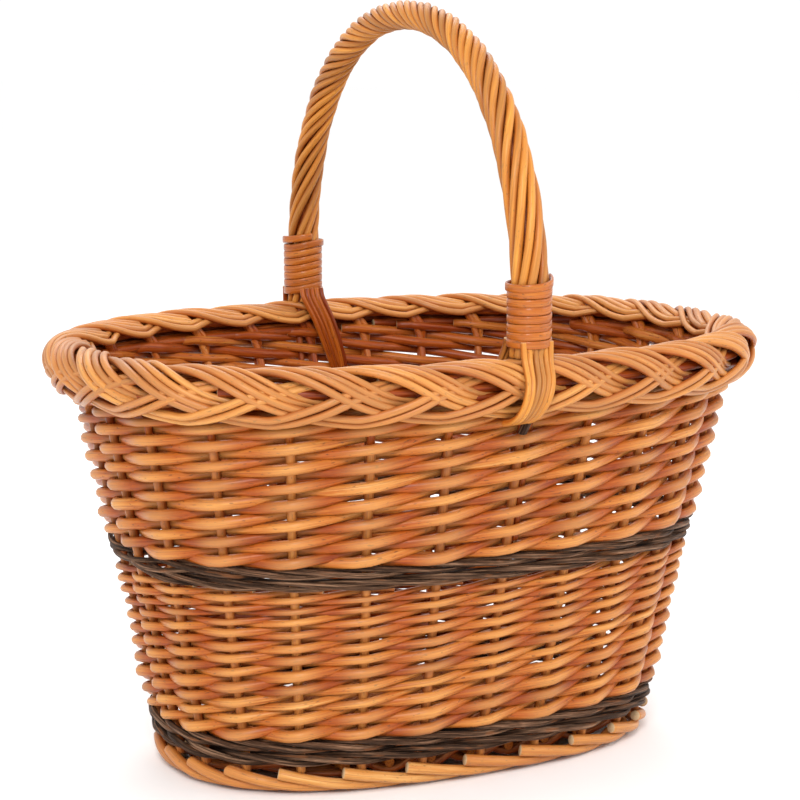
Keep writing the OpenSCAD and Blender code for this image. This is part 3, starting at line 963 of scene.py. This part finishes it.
handle = {
    "half": 150.3,
    "spring": 291.0,
    "rise": 164.0,
    "squareness": 2.12,
    "legLow": 264.0,
    "archPart": 0.9,                 # of the line, the rest is the straight legs
    "bowRadius": (6.0, 4.7),         # at the legs and at the top
    "thinPower": 1.5,
    "strands": 9,
    "pieces": 2,
    "strandGap": 0.1,                # between the bow and the strands
    "uneven": 0.05,
    "radiusDrift": (0.03, 14),
    "turnDrift": (0.07, 11),
    "outDrift": (0.25, 15),
    "strandRadius": (2.62, 2.05, 2.2),   # at the front leg, at the top and at the back leg
    "turnStations": (0, 90, 190, 370, 440, 560),          # millimetres along the handle
    "turnRates": (1 / 300, 1 / 230, 1 / 78, 1 / 80, 1 / 120, 1 / 200),    # turns for a millimetre
    "linePoints": 2001,              # of the line before it is divided evenly into the points
    "sides": 12,
    "points": 420,
}
bow = {                              # its thinned ends go down inside the wall
    "tongueX": 6.2,
    "tongueRadius": 2.3,
    "tongueHeights": (152.0, 190, 230, 250),
    "tint": 0.25,
    # painted light: the bow gets little painted highlight and much painted shade
    "proud": 0.2,
    "everyPoint": 6,
    "points": 260,
    "sides": 12,
}


def archLine(t):                     # from -1 at the front leg's foot to 1 at the back one's
    part = handle["archPart"]
    a = np.radians(90 / part * np.clip(t, -part, part))
    power = 2 / handle["squareness"]
    y = handle["half"] * np.sign(np.sin(a)) * np.abs(np.sin(a)) ** power
    z = handle["spring"] + handle["rise"] * np.abs(np.cos(a)) ** power
    onLeg = np.abs(t) > part
    below = np.clip((np.abs(t) - part) / (1 - part), 0, 1) * (handle["spring"] - handle["legLow"])
    y = np.where(onLeg, np.sign(t) * handle["half"], y)
    z = np.where(onLeg, handle["spring"], z) - below
    return np.stack([np.zeros(len(t)), y, z], -1)


raw = archLine(np.linspace(-1, 1, handle["linePoints"]))
rawWalk = lengthsAlong(raw)
archWalk = np.linspace(0, rawWalk[-1], handle["points"])
archPath = np.stack([np.interp(archWalk, rawWalk, raw[:, k]) for k in range(3)], -1)
archAlong = unit(np.gradient(archPath, axis=0))
sideways = np.array([1.0, 0.0, 0.0])
archOver = np.cross(archAlong, sideways)
archShare = archWalk / archWalk[-1]
middleness = np.sin(math.pi * archShare) ** handle["thinPower"]
bowRadius = handle["bowRadius"][0] + (handle["bowRadius"][1] - handle["bowRadius"][0]) * middleness
handleRate = np.interp(archWalk, handle["turnStations"], handle["turnRates"])
handleTurns = np.concatenate([[0], np.cumsum(0.5 * (handleRate[1:] + handleRate[:-1]) * np.diff(archWalk))])
strandRadius = np.interp(archShare, (0, 0.5, 1), handle["strandRadius"])


def addBow():
    bundle = Bundle("handleBow", bow["sides"])
    rise = np.array(bow["tongueHeights"])
    count = len(rise)
    middleStake = (wall["stakes"] / 2 - 1) / 2
    y = np.abs(wallPoints(np.full(count, middleStake), rise, np.zeros(count))[:, 1])
    frontTongue = np.stack([np.full(count, bow["tongueX"]), -y, rise], -1)
    backTongue = (frontTongue * (-1, -1, 1))[::-1]
    path = np.vstack([frontTongue, archPath[::bow["everyPoint"]], backTongue])
    thin = np.full(count, bow["tongueRadius"])
    radii = np.concatenate([thin, bowRadius[::bow["everyPoint"]], thin])
    walk = lengthsAlong(path)
    fine = np.linspace(0, walk[-1], bow["points"])
    path = np.stack([np.interp(fine, walk, path[:, k]) for k in range(3)], -1)
    bundle.rod(path, sideways, np.interp(fine, walk, radii), tint=bow["tint"], proud=bow["proud"])
    bundle.piece(handleWillow, "handle_willow", "handle_bow")


def addStrands():
    for g in range(handle["pieces"]):
        bundle = Bundle(f"handleStrands_{g + 1}", handle["sides"])
        for k in range(g, handle["strands"], handle["pieces"]):
            radius = strandRadius * (1 + rng.normal(0, handle["uneven"]))
            radius = radius * (1 + drift(archShare, *handle["radiusDrift"]))
            turn = fullTurn * (k / handle["strands"] + handleTurns) + drift(archShare, *handle["turnDrift"])
            ringRadius = bowRadius + strandRadius + handle["strandGap"]
            ringRadius = ringRadius + drift(archShare, *handle["outDrift"])
            outwardNow = np.cos(turn)[:, None] * sideways + np.sin(turn)[:, None] * archOver
            bundle.rod(archPath + ringRadius[:, None] * outwardNow, outwardNow, radius)
        bundle.piece(handleWillow, "handle_willow", "handle_strands")


binding = {
    "low": 270.4,
    "pitch": 4.75,
    "turns": 8,
    "radius": 12.1,                  # to the middle of the skein
    "width": 2.35,                   # half its width
    "thickness": 0.85,               # half its thickness
    "loose": 1.3,                    # how far the last turn stands off
    "looseUneven": 0.3,              # share of that which changes round the turn
    "looseRise": 1.1,
    "riseLead": 0.8,                 # radians
    "looseTurns": (1.3, 0.4),        # how long before the end it starts to, and over how many turns
    "firstOut": 0.35,                # how far the first turn stands off
    "firstRise": 0.9,
    "firstTurns": (0.9, 0.7),        # where it no longer does, and over how many turns
    "startAngles": {-1: 0.6, 1: 2.2},        # at the front and at the back
    "endsShort": (0.12, 0.1),        # turns
    "stepUp": 0.55,                  # share of the rise in one quick step each turn
    "stepLength": 0.30,              # turns
    "riseDrift": (0.12, 4),
    "tint": 0.55,
    "square": 0.62,                  # below 1 the skein's section is squarer than an oval
    "perTurn": 56,
    "sides": 14,
}


def atLeg(points, side):             # pieces are drawn at the front leg and turned to the back one
    return points if side < 0 else points * np.array([-1.0, -1.0, 1.0])


def addBinding(side, name, node):
    bundle = Bundle(name, binding["sides"])
    count, (before, after) = binding["turns"], binding["endsShort"]
    turns = np.linspace(-before, count - after, count * binding["perTurn"])
    angle = fullTurn * turns + binding["startAngles"][side]
    (lateFrom, lateLength), (earlyEnd, earlyLength) = binding["looseTurns"], binding["firstTurns"]
    late, early = smooth((turns - count + lateFrom) / lateLength), smooth((earlyEnd - turns) / earlyLength)
    uneven = binding["looseUneven"]
    loose = binding["loose"] * late * (1 - uneven + uneven * np.sin(angle))
    radius = binding["radius"] + loose + binding["firstOut"] * early
    step = np.floor(turns) + smooth((turns % 1 - 1) / binding["stepLength"] + 1)
    z = binding["low"] + binding["pitch"] * (binding["stepUp"] * step + (1 - binding["stepUp"]) * turns)
    z = z + binding["looseRise"] * late * np.sin(angle + binding["riseLead"])
    z = z - binding["firstRise"] * early * np.cos(angle) + drift(turns, *binding["riseDrift"])
    out = np.stack([np.cos(angle), np.sin(angle), np.zeros(len(angle))], -1)
    path = np.stack([radius * out[:, 0], radius * out[:, 1] - handle["half"], z], -1)
    flat = (1.0, binding["thickness"] / binding["width"])
    bundle.rod(atLeg(path, side), atLeg(out, side), binding["width"], tint=binding["tint"], flat=flat,
               square=binding["square"])
    bundle.piece(skeinWillow, "willow_skein", node)


tails = {
    "radius": 1.75,
    "gap": 3.5,
    "pinch": 0.4,                                # how much closer they lie at their tips
    "uneven": 0.05,
    "sideDrift": (0.25, 4),
    "outDrift": (0.3, 3),
    "points": 60,
    "sides": 10,
    "outer": {"count": 6, "shift": -12.0,        # out from the stakes, height, share of the shift
              "places": [(13.4, 273, 0), (13.9, 268, 0), (15.0, 262.5, 0.02), (17.6, 257.5, 0.07),
                         (20.8, 252, 0.15), (22.8, 246, 0.3), (22.8, 239.5, 0.5), (20.0, 233, 0.72),
                         (14.5, 229, 0.88), (6.5, 227, 1)]},
    "inner": {"count": 5, "shift": -20.0,
              "places": [(-8.5, 273, 0), (-10.8, 268, 0), (-12.6, 262, 0.1), (-14.2, 253, 0.3),
                         (-14.6, 243, 0.5), (-14.4, 232, 0.7), (-13.2, 222, 0.88), (-11.0, 214, 1)]},
}


def addTails(kind, side, name, node):
    spec = tails[kind]
    bundle = Bundle(name, tails["sides"])
    share = np.linspace(0, 1, tails["points"])
    walk = through(spec["places"], share)
    for k in range(spec["count"]):
        across = (k - (spec["count"] - 1) / 2) * tails["gap"]
        pinch = 1 - tails["pinch"] * share ** 2
        x = across * pinch + spec["shift"] * walk[:, 2] + drift(share, *tails["sideDrift"])
        y = -(wall["rimHalf"][1] + walk[:, 0] + drift(share, *tails["outDrift"]))
        path = atLeg(np.stack([x, y, walk[:, 1]], -1), side)
        slope = unit(np.gradient(path, axis=0))
        refs = np.cross(slope, sideways)
        if (refs[0, 1] > 0) != (side > 0):
            refs = -refs
        bundle.rod(path, refs, tails["radius"] * (1 + rng.normal(0, tails["uneven"])))
    bundle.piece(handleWillow, "handle_willow", node)


peg = {
    "places": [(-7, 9.5, 221), (-6, 10.4, 224), (-4.6, 11.2, 227.5), (-3, 12, 231)],      # x, out, height
    "radius": 2.5,
    "tint": 0.6,
    "slant": (0.3, -0.4),
    "points": 14,
    "sides": 12,
}


def addPeg(side, name, node):
    bundle = Bundle(name, peg["sides"])
    ends = [(x, -(wall["rimHalf"][1] + out), z) for x, out, z in peg["places"]]
    path = atLeg(through(ends, np.linspace(0, 1, peg["points"])), side)
    bundle.rod(path, sideways, peg["radius"], tint=peg["tint"], slant=peg["slant"])
    bundle.piece(barkWillow, "unpeeled_willow", node)


addBow()
addStrands()
for side, end in ((-1, "front"), (1, "back")):
    addBinding(side, end + "Binding", end + "_binding")
    addTails("outer", side, end + "OuterTails", end + "_outer_tails")
    addTails("inner", side, end + "InnerTails", end + "_inner_tails")
    addPeg(side, end + "HandlePeg", end + "_handle_peg")
print("handle done")
